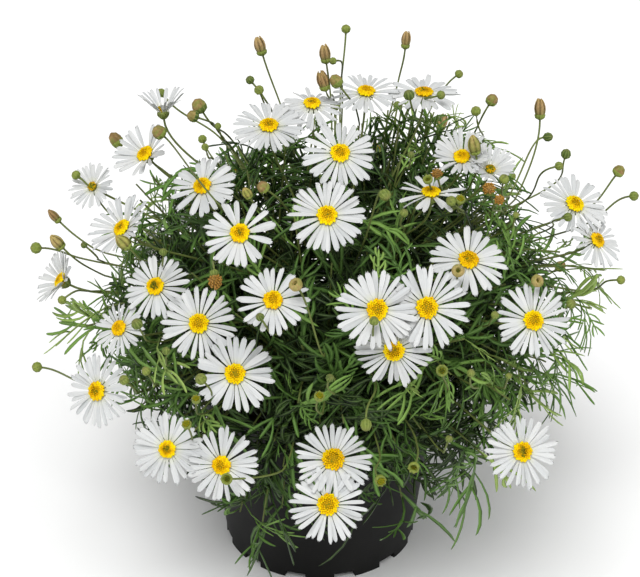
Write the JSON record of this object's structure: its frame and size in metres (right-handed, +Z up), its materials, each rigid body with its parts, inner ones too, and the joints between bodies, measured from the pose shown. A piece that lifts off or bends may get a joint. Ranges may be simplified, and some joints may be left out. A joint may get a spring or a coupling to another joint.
{
  "type": "potted swan river daisy",
  "caption": "Swan river daisy in a round black nursery pot: a dome of narrow lobed leaves under white daisies with yellow middles, and buds on thin stalks.",
  "frame": {"origin": "on the surface that the pot stands on, under the middle of the whole plant's outline", "axes": "+Z up, -Y towards the viewer of the picture, +X to the viewer's right"},
  "size_m": [0.2854, 0.2816, 0.2451],
  "materials": {
    "pot": "black moulded plastic, satin, with faint flow marks",
    "soil": "crumbly dark brown potting mix",
    "foliage": "soft matte green leaves and stalks",
    "rays": "soft white petals with faint lengthwise grooves",
    "discs": "granular golden yellow florets"
  },
  "bodies": {
    "root": {"cutting_front": "foliage", "cutting_left": "foliage", "cutting_right": "foliage", "disc_crest_lower": "discs", "disc_crest_upper": "discs", "disc_far_left": "discs", "disc_far_right": "discs", "disc_far_right_low": "discs", "disc_front_lower": "discs", "disc_front_upper": "discs", "disc_heart": "discs", "disc_left_crown": "discs", "disc_left_face": "discs", "disc_left_flank": "discs", "disc_left_hang": "discs", "disc_left_heart": "discs", "disc_left_low_face": "discs", "disc_left_nest": "discs", "disc_left_shoulder": "discs", "disc_left_side": "discs", "disc_low_left": "discs", "disc_low_left_inner": "discs", "disc_low_right": "discs", "disc_middle": "discs", "disc_middle_below": "discs", "disc_middle_right": "discs", "disc_right_crest": "discs", "disc_right_crown": "discs", "disc_right_face": "discs", "disc_right_heart": "discs", "disc_top_back": "discs", "disc_top_left": "discs", "disc_top_middle": "discs", "disc_top_right": "discs", "pot": "pot", "rays_crest": "rays", "rays_far_left": "rays", "rays_far_right": "rays", "rays_far_side_left": "rays", "rays_far_side_middle": "rays", "rays_far_side_right": "rays", "rays_front": "rays", "rays_heart": "rays", "rays_left_crown": "rays", "rays_left_flank": "rays", "rays_left_hang": "rays", "rays_left_heart": "rays", "rays_left_nest": "rays", "rays_left_opening": "rays", "rays_left_shoulder": "rays", "rays_left_spray": "rays", "rays_low_left": "rays", "rays_low_right": "rays", "rays_middle": "rays", "rays_right_crest": "rays", "rays_right_crown": "rays", "rays_right_face": "rays", "rays_right_heart": "rays", "rays_top": "rays", "soil": "soil"}
  },
  "joints": []
}
